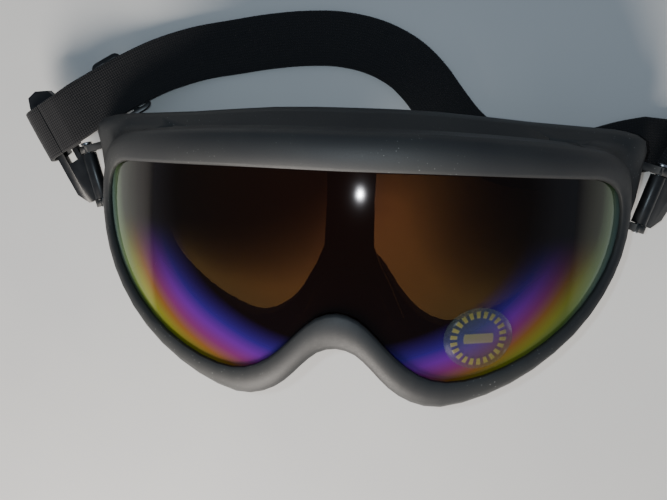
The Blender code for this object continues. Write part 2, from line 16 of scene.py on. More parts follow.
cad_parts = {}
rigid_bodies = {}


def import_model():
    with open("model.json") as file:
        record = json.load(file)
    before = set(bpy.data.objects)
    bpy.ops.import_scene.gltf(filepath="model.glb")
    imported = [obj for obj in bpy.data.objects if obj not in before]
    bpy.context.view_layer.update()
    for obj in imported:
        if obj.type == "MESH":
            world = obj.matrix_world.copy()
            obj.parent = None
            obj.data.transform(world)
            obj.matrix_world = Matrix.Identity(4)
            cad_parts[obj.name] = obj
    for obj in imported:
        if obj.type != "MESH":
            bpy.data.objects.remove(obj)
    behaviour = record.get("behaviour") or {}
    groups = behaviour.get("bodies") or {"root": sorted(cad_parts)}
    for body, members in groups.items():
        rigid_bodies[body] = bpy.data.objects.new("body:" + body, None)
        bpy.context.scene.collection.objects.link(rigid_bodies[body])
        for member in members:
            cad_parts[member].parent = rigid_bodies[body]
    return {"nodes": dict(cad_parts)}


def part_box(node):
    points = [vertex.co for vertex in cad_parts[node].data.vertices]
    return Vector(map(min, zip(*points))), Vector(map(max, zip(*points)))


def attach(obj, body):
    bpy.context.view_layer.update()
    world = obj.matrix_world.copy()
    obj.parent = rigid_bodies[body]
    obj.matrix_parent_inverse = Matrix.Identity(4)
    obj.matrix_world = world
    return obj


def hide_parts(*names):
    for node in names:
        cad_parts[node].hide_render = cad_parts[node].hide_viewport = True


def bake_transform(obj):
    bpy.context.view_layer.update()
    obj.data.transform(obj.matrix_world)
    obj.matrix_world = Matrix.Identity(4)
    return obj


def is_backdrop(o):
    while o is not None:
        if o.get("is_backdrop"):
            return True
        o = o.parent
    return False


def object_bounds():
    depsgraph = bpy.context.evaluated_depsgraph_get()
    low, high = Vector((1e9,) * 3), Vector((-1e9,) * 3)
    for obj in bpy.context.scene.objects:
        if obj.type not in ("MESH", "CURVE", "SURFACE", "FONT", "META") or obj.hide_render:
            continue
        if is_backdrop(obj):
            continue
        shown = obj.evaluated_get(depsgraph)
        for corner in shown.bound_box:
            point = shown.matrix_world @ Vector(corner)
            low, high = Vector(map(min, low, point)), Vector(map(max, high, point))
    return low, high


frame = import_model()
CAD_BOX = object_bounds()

MM = 0.001
NODES = frame["nodes"]
print("box in mm", [[round(c / MM, 1) for c in corner] for corner in CAD_BOX])

# %% [markdown]
# The goggles have a middle of their own, between the wearer's eyes, and it isn't the middle of
# the footprint because the strap lies on the brow side. The lens node tells where it is: its left
# and right edges are the same distance from it, and its brow edge is 30.5 mm above it.

# %% Where the goggles' own middle is
LENS_LOW, LENS_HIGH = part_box("lens")
BROW_EDGE = 30.5 * MM
MIDDLE = Vector(((LENS_LOW.x + LENS_HIGH.x) / 2, LENS_HIGH.y - BROW_EDGE, 0.0))
print("middle of the goggles in mm", [round(c / MM, 2) for c in MIDDLE])


def here(x, y, z):
    """A place given in millimetres from the middle of the goggles."""
    return Vector((x, y, z)) * MM + MIDDLE


# %% [markdown]
# The camera stands almost straight above the goggles, a little to the right and on the brow side,
# as a person would look down at a thing on a table. It is made first so that every later piece
# can be judged from there. The goggles had rolled a little to one side, and the camera's own turn
# carries that roll.

# %% Camera
CAMERA_PLACE = (20.0, 42.0, 246.0)  # in millimetres from the middle of the goggles
CAMERA_TURN = (-10.6, 7.2, 1.8)  # in degrees
CAMERA_LENS, SENSOR_WIDTH = 37.8, 36.0
NEAREST_SEEN = 10 * MM

bpy.ops.object.select_all(action="DESELECT")
bpy.ops.object.camera_add(
    location=here(*CAMERA_PLACE), rotation=[math.radians(turn) for turn in CAMERA_TURN]
)
camera = bpy.context.object
camera.name = "looking_down"
camera.data.lens = CAMERA_LENS
camera.data.sensor_width = SENSOR_WIDTH
camera.data.clip_start = NEAREST_SEEN
bpy.context.scene.camera = camera
print("camera", [round(c / MM) for c in camera.location], "mm, lens", CAMERA_LENS)


# %% [markdown]
# Every material below is a small graph of nodes. Three helpers keep the graphs short to read: one
# turns an sRGB colour, as a paint chip would be written, into the linear numbers that a shader
# takes, one turns a real size into a pattern's scale, and one adds a node with its settings and
# its links in one call.

# %% Colour, scale and node helpers
def colour(code):
    """#rrggbb as linear red, green and blue, with nothing let through."""
    parts = [int(code[i : i + 2], 16) / 255 for i in (1, 3, 5)]
    return (*[c / 12.92 if c <= 0.04045 else ((c + 0.055) / 1.055) ** 2.4 for c in parts], 1.0)


def grey(level):
    return (level, level, level, 1.0)


def scale_for(size):
    """The scale of a pattern whose cells are this many millimetres across."""
    return 1 / (size * MM)


def node(mat, kind, settings=None, stops=(), **inputs):
    """Adds a node. settings are its properties and stops are a colour ramp's places and colours.
    Each input is a value, a socket that feeds it, or a node whose first output feeds it."""
    made = mat.node_tree.nodes.new(kind)
    for name, value in (settings or {}).items():
        setattr(made, name, value)
    for name, value in inputs.items():
        wanted = name.replace("_", " ").lower()
        sockets = [s for s in made.inputs if s.name.lower() == wanted and s.enabled]
        place = 0
        if not sockets:
            wanted, _, number = wanted.rpartition(" ")
            sockets = [s for s in made.inputs if s.name.lower() == wanted and s.enabled]
            place = int(number)
        if isinstance(value, bpy.types.Node):
            value = value.outputs[0]
        if isinstance(value, bpy.types.NodeSocket):
            mat.node_tree.links.new(value, sockets[place])
        else:
            sockets[place].default_value = value
    if stops:
        band = made.color_ramp.elements
        while len(band) < len(stops):
            band.new(0.5)
        for element, (position, tint) in zip(band, stops):
            element.position = position
            element.color = tint
    return made


def new_material(name):
    made = bpy.data.materials.new(name)
    made.use_nodes = True
    made.node_tree.nodes.clear()
    return made


# %% [markdown]
# The frame is moulded from a tough matte plastic such as nylon. The mould is spark-eroded, which
# leaves a fine grain that scatters light, and the piece is charcoal rather than black. Used
# goggles carry pale dust that clings to the grain. The grain is a noise of about 0.35 mm, and the
# dust is a few bright grains picked out by a ramp over cells of 1.3 mm. A slow cloud of 28 mm
# varies the charcoal and gathers the dust in patches.

# %% Matte charcoal nylon
GRAIN_MM, GRAIN_DEPTH_MM = 0.35, 0.06
DUST_MM = 1.3
CLOUD_MM = 28.0


def make_frame_nylon():
    mat = new_material("spark_eroded_nylon")
    at = node(mat, "ShaderNodeTexCoord").outputs["Object"]
    grain = node(mat, "ShaderNodeTexNoise", Vector=at, Scale=scale_for(GRAIN_MM), Detail=2.0)
    cloud = node(mat, "ShaderNodeTexNoise", Vector=at, Scale=scale_for(CLOUD_MM), Detail=3.0)
    charcoal = node(
        mat,
        "ShaderNodeValToRGB",
        stops=[(0.3, colour("#1f2022")), (0.7, colour("#2b2c2b"))],
        Fac=cloud.outputs["Fac"],
    )
    dust_cells = node(mat, "ShaderNodeTexVoronoi", Vector=at, Scale=scale_for(DUST_MM))
    speck = node(
        mat,
        "ShaderNodeValToRGB",
        stops=[(0.06, grey(1.0)), (0.13, grey(0.0))],
        Fac=dust_cells.outputs["Distance"],
    )
    patch = node(
        mat,
        "ShaderNodeValToRGB",
        stops=[(0.46, grey(0.0)), (0.62, grey(0.8))],
        Fac=cloud.outputs["Fac"],
    )
    dust = node(mat, "ShaderNodeMath", {"operation": "MULTIPLY"}, Value_0=speck, Value_1=patch)
    tint = node(
        mat, "ShaderNodeMix", {"data_type": "RGBA"}, Factor=dust, A=charcoal, B=colour("#8d8f8c")
    )
    rough = node(mat, "ShaderNodeMapRange", Value=grain.outputs["Fac"], To_Min=0.50, To_Max=0.70)
    bump = node(
        mat,
        "ShaderNodeBump",
        Strength=0.35,
        Distance=GRAIN_DEPTH_MM * MM,
        Height=grain.outputs["Fac"],
    )
    shader = node(
        mat,
        "ShaderNodeBsdfPrincipled",
        Base_Color=tint.outputs["Result"],
        Roughness=rough,
        IOR=1.53,
        Normal=bump,
    )
    node(mat, "ShaderNodeOutputMaterial", Surface=shader)
    return mat


frame_nylon = make_frame_nylon()
print("made", frame_nylon.name)

# %% [markdown]
# The brackets, the slider and the brace behind the lens are moulded from acetal, a slippery
# plastic that comes out of a smoother mould. It is nearly black and has a satin shine, with
# handling marks a few millimetres across and a very fine grain.

# %% Satin black acetal
HANDLING_MM = 3.0
FINE_GRAIN_MM, FINE_GRAIN_DEPTH_MM = 0.3, 0.04


def make_acetal():
    mat = new_material("satin_acetal")
    at = node(mat, "ShaderNodeTexCoord").outputs["Object"]
    wear = node(mat, "ShaderNodeTexNoise", Vector=at, Scale=scale_for(HANDLING_MM), Detail=4.0)
    grain = node(mat, "ShaderNodeTexNoise", Vector=at, Scale=scale_for(FINE_GRAIN_MM), Detail=1.0)
    tint = node(
        mat,
        "ShaderNodeValToRGB",
        stops=[(0.35, colour("#0f1012")), (0.75, colour("#191b1d"))],
        Fac=wear.outputs["Fac"],
    )
    rough = node(mat, "ShaderNodeMapRange", Value=wear.outputs["Fac"], To_Min=0.26, To_Max=0.42)
    bump = node(
        mat,
        "ShaderNodeBump",
        Strength=0.12,
        Distance=FINE_GRAIN_DEPTH_MM * MM,
        Height=grain.outputs["Fac"],
    )
    shader = node(
        mat, "ShaderNodeBsdfPrincipled", Base_Color=tint, Roughness=rough, IOR=1.48, Normal=bump
    )
    node(mat, "ShaderNodeOutputMaterial", Surface=shader)
    return mat


acetal = make_acetal()
print("made", acetal.name)

# %% [markdown]
# The hinge pins are drawn steel wire, cut and headed. Drawing and heading leave small marks that
# make the steel lighter and darker from place to place. On a head this small, a noise of 0.4 mm
# shows as much of them as the eye would see.

# %% Drawn steel
STEEL_MARK_MM = 0.4


def make_pin_steel():
    mat = new_material("drawn_steel")
    at = node(mat, "ShaderNodeTexCoord").outputs["Object"]
    marks = node(mat, "ShaderNodeTexNoise", Vector=at, Scale=scale_for(STEEL_MARK_MM), Detail=2.0)
    tint = node(
        mat,
        "ShaderNodeValToRGB",
        stops=[(0.3, colour("#8d9093")), (0.7, colour("#b9bcbf"))],
        Fac=marks.outputs["Fac"],
    )
    rough = node(mat, "ShaderNodeMapRange", Value=marks.outputs["Fac"], To_Min=0.22, To_Max=0.38)
    shader = node(mat, "ShaderNodeBsdfPrincipled", Base_Color=tint, Metallic=1.0, Roughness=rough)
    node(mat, "ShaderNodeOutputMaterial", Surface=shader)
    return mat


pin_steel = make_pin_steel()
print("made", pin_steel.name)

# %% [markdown]
# Open-cell foam is mostly air: black walls of polyurethane between cells of half a millimetre to a
# millimetre. The cells are Voronoi cells pressed into the surface. Their colour is painted: a
# painted highlight on the walls between them, where they would catch a little light, and painted
# shade deepening into each cell.

# %% Open-cell foam
CELL_MM, CELL_DEPTH_MM = 0.8, 0.5


def make_open_foam():
    mat = new_material("open_cell_foam")
    at = node(mat, "ShaderNodeTexCoord").outputs["Object"]
    cells = node(mat, "ShaderNodeTexVoronoi", Vector=at, Scale=scale_for(CELL_MM))
    walls = node(
        mat,
        "ShaderNodeTexVoronoi",
        {"feature": "DISTANCE_TO_EDGE"},
        Vector=at,
        Scale=scale_for(CELL_MM),
    )
    # Painted highlight on the cell walls, fading to painted shade in the middle of each cell.
    tint = node(
        mat,
        "ShaderNodeValToRGB",
        stops=[(0.0, colour("#2b2c2f")), (0.10, colour("#131416")), (0.3, colour("#050506"))],
        Fac=walls.outputs["Distance"],
    )
    bump = node(
        mat,
        "ShaderNodeBump",
        {"invert": True},
        Strength=0.9,
        Distance=CELL_DEPTH_MM * MM,
        Height=cells.outputs["Distance"],
    )
    shader = node(mat, "ShaderNodeBsdfPrincipled", Base_Color=tint, Roughness=0.62, Normal=bump)
    node(mat, "ShaderNodeOutputMaterial", Surface=shader)
    return mat


open_foam = make_open_foam()
print("made", open_foam.name)

# %% [markdown]
# The strap is elastic webbing: rubber threads run along it and nylon yarn is woven over them, so
# it shows fine ribs along its length, crossed by the picks of the weave. Its colour is painted
# from the weave: a painted highlight where ribs and picks cross, and painted shade in the grooves
# between them. The pattern follows the strap, so it reads the UV map, in which one unit is one
# centimetre along and across.

# %% Elastic webbing
RIB_MM, PICK_MM = 0.9, 0.75
WEAVE_DEPTH_MM = 0.25
UV_UNIT = 10 * MM
WAVES_PER_UNIT = 20 / (2 * math.pi)  # a wave texture of scale 1 has this many bands in one unit


def make_webbing():
    mat = new_material("woven_elastic")
    at = node(mat, "ShaderNodeUVMap").outputs["UV"]
    threads = []
    for direction, size, waver in (("Y", RIB_MM, 0.4), ("X", PICK_MM, 0.6)):
        wave = node(
            mat,
            "ShaderNodeTexWave",
            {"wave_type": "BANDS", "bands_direction": direction, "wave_profile": "SIN"},
            Vector=at,
            Scale=UV_UNIT / (size * MM) / WAVES_PER_UNIT,
            Distortion=waver,
            Detail=1.0,
        )
        threads.append(wave.outputs["Fac"])
    ribs, picks = threads
    weave = node(mat, "ShaderNodeMath", {"operation": "MULTIPLY"}, Value_0=ribs, Value_1=picks)
    # Painted highlight on the raised crossings of the weave, painted shade in its grooves.
    tint = node(
        mat,
        "ShaderNodeValToRGB",
        stops=[(0.0, colour("#040406")), (0.6, colour("#0b0b0f")), (1.0, colour("#17181e"))],
        Fac=weave,
    )
    bump = node(mat, "ShaderNodeBump", Strength=0.7, Distance=WEAVE_DEPTH_MM * MM, Height=weave)
    shader = node(
        mat,
        "ShaderNodeBsdfPrincipled",
        Base_Color=tint,
        Roughness=0.85,
        Sheen_Weight=0.08,
        Sheen_Roughness=0.5,
        Normal=bump,
    )
    node(mat, "ShaderNodeOutputMaterial", Surface=shader)
    return mat


webbing = make_webbing()
print("made", webbing.name)

# %% [markdown]
# The lens is smoke-brown polycarbonate with a mirror coating a few hundred nanometres thick. A
# coating of that kind reflects one colour and lets its opposite through, and the colour changes
# as the surface turns away from the eye and where the coating thins out near the rim. The base
# colour holds that coating colour together with a painted reflection of the bright room: it runs
# from a dark red-brown in the middle through violet, orange and olive to a pale blue-grey at the
# rim, and the bright colours towards the rim are painted reflection on top of the coating's own
# colour. It is a ramp over the distance from a point high between the eyes, measured on the piece
# itself, so that it stays where it is from every side. The upper part of the lens is painted with
# a darker reflection: it keeps its dark middle almost to the brow, and shows only the rim's green
# and grey. The middle lets more light through than the rim does.

# %% Mirrored polycarbonate
COATING_MIDDLE = (0.0, 20.0)  # in millimetres from the middle of the goggles
COATING_REACH = (82.0, 64.0)  # how far the rim lies from there, to the sides and to the cheeks
# Height band where the bright painted reflection gives way to the darker one near the brow.
PAINTED_REFLECTION_BAND = (-14.0, 12.0)  # all the colours show below the first height, the rim's alone above the second
UNEVEN_MM, UNEVEN_SHARE = 40.0, 0.02
# Both ramps are coating colour with a painted reflection in it: the lower one paints the bright room
# reflected towards the rim, the upper one a darker painted reflection.
LOW_COATING_AND_PAINTED_REFLECTION = (
    (0.0, "#241006"),
    (0.60, "#1a0c0c"),
    (0.69, "#33197e"),
    (0.74, "#6a1f94"),
    (0.79, "#7c2c6a"),
    (0.84, "#8a5a22"),
    (0.89, "#84841e"),
    (0.94, "#6c8440"),
    (1.0, "#98a8a8"),
)
HIGH_COATING_AND_PAINTED_REFLECTION = (
    (0.0, "#241006"),
    (0.80, "#120c08"),
    (0.89, "#1c240c"),
    (0.94, "#4c6440"),
    (1.0, "#7f9898"),
)
SMOKE_COLOURS = ((0.0, "#c49c80"), (0.45, "#bb9f78"), (0.75, "#a89e76"), (1.0, "#c8d0cc"))
MIRROR_SHARE = ((0.0, 0.32), (0.60, 0.42), (0.70, 0.85), (1.0, 0.93))


def make_mirror_lens():
    mat = new_material("mirrored_polycarbonate")
    at = node(mat, "ShaderNodeTexCoord").outputs["Object"]
    centre = here(*COATING_MIDDLE, 0.0)
    moved = node(
        mat, "ShaderNodeVectorMath", {"operation": "SUBTRACT"}, Vector_0=at, Vector_1=centre
    )
    shape = (scale_for(COATING_REACH[0]), scale_for(COATING_REACH[1]), 0.0)
    flat = node(
        mat, "ShaderNodeVectorMath", {"operation": "MULTIPLY"}, Vector_0=moved, Vector_1=shape
    )
    reach = node(mat, "ShaderNodeVectorMath", {"operation": "LENGTH"}, Vector=flat)
    uneven = node(mat, "ShaderNodeTexNoise", Vector=at, Scale=scale_for(UNEVEN_MM), Detail=1.0)
    shift = node(
        mat,
        "ShaderNodeMapRange",
        Value=uneven.outputs["Fac"],
        To_Min=-UNEVEN_SHARE,
        To_Max=UNEVEN_SHARE,
    )
    far = node(
        mat, "ShaderNodeMath", {"operation": "ADD"}, Value_0=reach.outputs["Value"], Value_1=shift
    )
    low, high, smoke = (
        node(
            mat,
            "ShaderNodeValToRGB",
            stops=[(place, colour(code)) for place, code in colours],
            Fac=far,
        )
        for colours in (LOW_COATING_AND_PAINTED_REFLECTION, HIGH_COATING_AND_PAINTED_REFLECTION, SMOKE_COLOURS)
    )
    # Painted reflection: darker above this height band than below it.
    towards_dark_painted_reflection = node(
        mat,
        "ShaderNodeMapRange",
        {"interpolation_type": "SMOOTHSTEP"},
        Value=node(mat, "ShaderNodeSeparateXYZ", Vector=moved).outputs["Y"],
        From_Min=(PAINTED_REFLECTION_BAND[0] - COATING_MIDDLE[1]) * MM,
        From_Max=(PAINTED_REFLECTION_BAND[1] - COATING_MIDDLE[1]) * MM,
    )
    # The coating colour with its painted reflection becomes the mirror's base colour.
    coating_and_painted_reflection = node(mat, "ShaderNodeMix", {"data_type": "RGBA"}, Factor=towards_dark_painted_reflection, A=low, B=high)
    mirror = node(
        mat,
        "ShaderNodeBsdfPrincipled",
        Base_Color=coating_and_painted_reflection.outputs["Result"],
        Metallic=0.35,
        Roughness=0.08,
        IOR=1.59,
    )
    clear = node(mat, "ShaderNodeBsdfTransparent", Color=smoke)
    share = node(
        mat,
        "ShaderNodeValToRGB",
        stops=[(place, grey(level)) for place, level in MIRROR_SHARE],
        Fac=far,
    )
    both = node(mat, "ShaderNodeMixShader", Fac=share, Shader_0=clear, Shader_1=mirror)
    node(mat, "ShaderNodeOutputMaterial", Surface=both)
    return mat


mirror_lens = make_mirror_lens()
print("made", mirror_lens.name)

# %% [markdown]
# The film is clear vinyl with a little pale yellow print: a ring of short dashes between the
# middle and the edge, and a plain bar inside the ring. Both are drawn from distances in film
# radii, so they keep their place if the film grows. The film cuts off a little light even where
# nothing is printed.

# %% Clear vinyl film
FILM_AT = (38.0, -16.0)  # in millimetres from the middle of the goggles
FILM_R = 9.5
DASHES, DASH_GAP = 22.0, 0.45
RING = ((0.0, 0.0), (0.60, 0.0), (0.63, 1.0), (0.80, 1.0), (0.83, 0.0), (1.0, 0.0))
BAR_HEIGHT = ((0.0, 0.8), (0.13, 0.8), (0.16, 0.0))
BAR_LENGTH = ((0.0, 1.0), (0.42, 1.0), (0.45, 0.0))


def make_clear_film():
    mat = new_material("clear_vinyl_film")
    at = node(mat, "ShaderNodeTexCoord").outputs["Object"]
    centre = here(*FILM_AT, 0.0)
    moved = node(
        mat, "ShaderNodeVectorMath", {"operation": "SUBTRACT"}, Vector_0=at, Vector_1=centre
    )
    shape = (scale_for(FILM_R), scale_for(FILM_R), 0.0)
    flat = node(
        mat, "ShaderNodeVectorMath", {"operation": "MULTIPLY"}, Vector_0=moved, Vector_1=shape
    )
    reach = node(mat, "ShaderNodeVectorMath", {"operation": "LENGTH"}, Vector=flat).outputs["Value"]
    across = node(mat, "ShaderNodeSeparateXYZ", Vector=flat).outputs["Y"]
    height = node(mat, "ShaderNodeMath", {"operation": "ABSOLUTE"}, Value_0=across)
    ring, thin, inner = (
        node(
            mat,
            "ShaderNodeValToRGB",
            stops=[(place, grey(level)) for place, level in levels],
            Fac=distance,
        )
        for distance, levels in ((reach, RING), (height, BAR_HEIGHT), (reach, BAR_LENGTH))
    )
    turn = node(mat, "ShaderNodeTexGradient", {"gradient_type": "RADIAL"}, Vector=flat)
    many = node(
        mat,
        "ShaderNodeMath",
        {"operation": "MULTIPLY"},
        Value_0=turn.outputs["Fac"],
        Value_1=DASHES,
    )
    saw = node(mat, "ShaderNodeMath", {"operation": "FRACT"}, Value_0=many)
    dash = node(mat, "ShaderNodeMath", {"operation": "GREATER_THAN"}, Value_0=saw, Value_1=DASH_GAP)
    dashes = node(mat, "ShaderNodeMath", {"operation": "MULTIPLY"}, Value_0=ring, Value_1=dash)
    bar = node(mat, "ShaderNodeMath", {"operation": "MULTIPLY"}, Value_0=thin, Value_1=inner)
    ink = node(mat, "ShaderNodeMath", {"operation": "MAXIMUM"}, Value_0=dashes, Value_1=bar)
    tint = node(
        mat,
        "ShaderNodeValToRGB",
        stops=[(0.0, colour("#6f7c74")), (1.0, colour("#8f8848"))],
        Fac=ink,
    )
    cover = node(mat, "ShaderNodeMapRange", Value=ink, To_Min=0.08, To_Max=0.36)
    gloss = node(mat, "ShaderNodeBsdfPrincipled", Base_Color=tint, Roughness=0.25)
    clear = node(mat, "ShaderNodeBsdfTransparent", Color=colour("#f4f8f8"))
    both = node(mat, "ShaderNodeMixShader", Fac=cover, Shader_0=clear, Shader_1=gloss)
    node(mat, "ShaderNodeOutputMaterial", Surface=both)
    return mat


clear_film = make_clear_film()
print("made", clear_film.name)

# %% [markdown]
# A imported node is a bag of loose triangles. It can't be smoothed or bevelled until the corners
# that touch are merged, and a node's own mesh may not change, so each piece that needs work is a
# merged copy which stands in for the node and rides on the same body.

# %% Copying a node
MERGE_GAP = 0.01 * MM


def only(obj):
    bpy.ops.object.select_all(action="DESELECT")
    obj.select_set(True)
    bpy.context.view_layer.objects.active = obj


def copy_of(part, name, finish, slot, body):
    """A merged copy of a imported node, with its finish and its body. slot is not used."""
    only(NODES[part])
    bpy.ops.object.duplicate()
    made = bpy.context.object
    made.name = name
    bpy.ops.object.parent_clear(type="CLEAR_KEEP_TRANSFORM")
    bpy.ops.object.mode_set(mode="EDIT")
    bpy.ops.mesh.select_all(action="SELECT")
    bpy.ops.mesh.remove_doubles(threshold=MERGE_GAP)
    bpy.ops.object.mode_set(mode="OBJECT")
    bpy.ops.object.transform_apply(location=True, rotation=True, scale=True)
    settle(made, finish, slot, body, part)
    return made


def settle(made, finish, slot, body, *parts):
    """Gives a piece its finish and hides the nodes it stands for. body is a body's name, or the
    two bodies and the two places of a bend; those bodies and places are not used, and such a piece
    is only fixed where it lies."""
    made.data.materials.clear()
    made.data.materials.append(finish)
    if isinstance(body, dict):
        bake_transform(made)
    else:
        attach(made, body)
    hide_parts(*parts)


def add_modifier(obj, kind, **settings):
    """Adds one modifier and applies it at once."""
    only(obj)
    made = obj.modifiers.new(kind.lower(), kind)
    for name, value in settings.items():
        setattr(made, name, value)
    bpy.ops.object.modifier_apply(modifier=made.name)


def smooth(obj, degrees):
    only(obj)
    bpy.ops.object.shade_smooth_by_angle(angle=math.radians(degrees))


# %% [markdown]
# The frame came out of its mould in one piece, with soft edges round every opening. Its copy is
# shaded smooth wherever two faces meet at less than 35 degrees, so the long sweep of the brow
# reads as one surface and the air slots stay crisp. The brace behind the lens is a separate,
# darker piece, so it takes the black acetal, and a bevel breaks its edges.

# %% Frame
FRAME_SMOOTH = 35
BRACE_EDGE = 0.4

frame_piece = copy_of("frame_shell", "moulded_frame", frame_nylon, "frame_plastic", "goggles")
smooth(frame_piece, FRAME_SMOOTH)
brace_piece = copy_of("nose_brace", "inner_brace", acetal, "bracket_plastic", "goggles")
add_modifier(brace_piece, "BEVEL", width=BRACE_EDGE * MM, segments=2, limit_method="ANGLE")
smooth(brace_piece, FRAME_SMOOTH)
print("frame faces", len(frame_piece.data.polygons))

# %% [markdown]
# The brackets, the slider and the pins are small hard pieces. A real moulding never has a knife
# edge, and a fine bevel is what lets an edge catch a line of light. Only edges sharper than 50
# degrees are bevelled, so the round ends stay as they are.

# %% Brackets, slider and pins
PLATE_EDGE, PIN_EDGE, SLIDER_EDGE = 0.35, 0.12, 0.3
HARD_SMOOTH = 40
SHARP_ONLY = {"segments": 2, "limit_method": "ANGLE", "angle_limit": math.radians(50)}

for side in ("left", "right"):
    plate = copy_of(
        f"bracket_{side}", f"swing_bracket_{side}", acetal, "bracket_plastic", f"bracket_{side}"
    )
    add_modifier(plate, "BEVEL", width=PLATE_EDGE * MM, **SHARP_ONLY)
    smooth(plate, HARD_SMOOTH)
    pin = copy_of(f"hinge_pin_{side}", f"headed_pin_{side}", pin_steel, "pin_steel", "goggles")
    add_modifier(pin, "BEVEL", width=PIN_EDGE * MM, **SHARP_ONLY)
    smooth(pin, HARD_SMOOTH)
    print(side, "plate faces", len(plate.data.polygons))
slider_piece = copy_of("strap_slider", "slide_buckle", acetal, "bracket_plastic", "slider")
add_modifier(slider_piece, "BEVEL", width=SLIDER_EDGE * MM, **SHARP_ONLY)
smooth(slider_piece, HARD_SMOOTH)
print("slider faces", len(slider_piece.data.polygons))

# %% [markdown]
# The lens is a toric sheet, curved to a radius of 100 mm across the face and 200 mm from brow to
# cheek. The copy is cut finer, and each new corner is then lifted on to the exact curve, so that
# reflections run over it without a ripple.

# %% Lens
LENS_R_ACROSS, LENS_R_UPRIGHT, LENS_APEX, LENS_THICK = 100.0, 200.0, 68.0, 1.5
LENS_CUTS = 2
NEAR_FACE = 0.5  # a corner within this many millimetres of a face belongs to that face


def lens_height(x, y):
    """Height of the lens's outer face and the steepness there, in millimetres from the middle."""
    root = math.sqrt(LENS_R_ACROSS**2 - x * x)
    slope = math.sqrt(1 + (x / root) ** 2 + (y / LENS_R_UPRIGHT) ** 2)
    return LENS_APEX - LENS_R_ACROSS + root - y * y / (2 * LENS_R_UPRIGHT), slope


lens_piece = copy_of("lens", "toric_lens", mirror_lens, "mirror_lens", "goggles")
only(lens_piece)
bpy.ops.object.mode_set(mode="EDIT")
bpy.ops.mesh.select_all(action="SELECT")
bpy.ops.mesh.subdivide(number_cuts=LENS_CUTS)
bpy.ops.object.mode_set(mode="OBJECT")
moved = 0
for corner in lens_piece.data.vertices:
    x, y, z = (corner.co - MIDDLE) / MM
    outer, slope = lens_height(x, y)
    drop = (outer - z) / slope
    if abs(drop) < NEAR_FACE:
        corner.co.z = outer * MM
        moved += 1
    elif abs(drop - LENS_THICK) < NEAR_FACE:
        corner.co.z = (outer - LENS_THICK * slope) * MM
        moved += 1
smooth(lens_piece, HARD_SMOOTH)
print("lens corners", len(lens_piece.data.vertices), "lifted", moved)

# %% [markdown]
# The foam ring and the strips of foam behind the air slots are cut from a block with a hot wire,
# so their sides are plain but their skin is all open cells. Each copy is remeshed into small even
# squares and pushed in and out by a noise of about two cells, which breaks up the outline too.

# %% Foam
RING_SQUARE, STRIP_SQUARE = 1.0, 0.8
SKIN_NOISE, SKIN_BUMP, SKIN_INWARD = 1.6, 0.45, 0.6


def rough_foam(part, name, square):
    """A copy of a foam part whose skin is pitted, and pushed in a little more than out."""
    made = copy_of(part, name, open_foam, "foam", "goggles")
    add_modifier(made, "REMESH", mode="VOXEL", voxel_size=square * MM)
    add_modifier(made, "SMOOTH", factor=0.5, iterations=3)
    skin = bpy.data.textures.new(name + "_cells", "CLOUDS")
    skin.noise_scale = SKIN_NOISE * MM
    skin.noise_depth = 1
    add_modifier(
        made,
        "DISPLACE",
        texture=skin,
        texture_coords="GLOBAL",
        strength=SKIN_BUMP * MM,
        mid_level=SKIN_INWARD,
    )
    only(made)
    bpy.ops.object.shade_smooth()
    return made


foam_ring = rough_foam("face_foam", "face_foam_ring", RING_SQUARE)
rough_foam("brow_vent_foam", "brow_slot_foam", STRIP_SQUARE)
rough_foam("cheek_vent_foam_left", "cheek_slot_foam_left", STRIP_SQUARE)
rough_foam("cheek_vent_foam_right", "cheek_slot_foam_right", STRIP_SQUARE)
print("foam faces", len(foam_ring.data.polygons))

# %% [markdown]
# The strap is one length of webbing. It starts as a flat grid that is long one way, and each row
# of the grid is laid across the strap's path. Solidify gives it its thickness and a bevel rounds
# its woven edges. It is made in four lengths, because the ends turn with the brackets: two turns
# round the bracket bars, and two halves that each run from a bracket to the goggles and meet out
# of sight under the brow. The halves stay where they are laid.

# %% Laying webbing along a path
STRAP_WIDTH, STRAP_THICK = 18.0, 1.4
STRAP_CUP = 0.10  # how far the edges stand above the strap's middle, in millimetres
STRAP_EDGE, STRAP_EDGE_LIMIT = 0.35, math.radians(60)
STRAP_SMOOTH = 50
ACROSS = 8


def between(t, before, start, end, after):
    """A value t of the way from start to end, on a curve that also heeds the two beyond them."""
    lean = (end - before) * t
    bend = (2 * before - 5 * start + 4 * end - after) * t * t
    twist = (3 * start - before - 3 * end + after) * t**3
    return 0.5 * (2 * start + lean + bend + twist)


def smooth_path(rows, steps):
    """Rows of numbers with steps - 1 smooth ones added between each two."""
    padded = [rows[0], *rows, rows[-1]]
    made = []
    for i in range(len(rows) - 1):
        for k in range(steps):
            made.append(tuple(between(k / steps, *values) for values in zip(*padded[i : i + 4])))
    return [*made, rows[-1]]


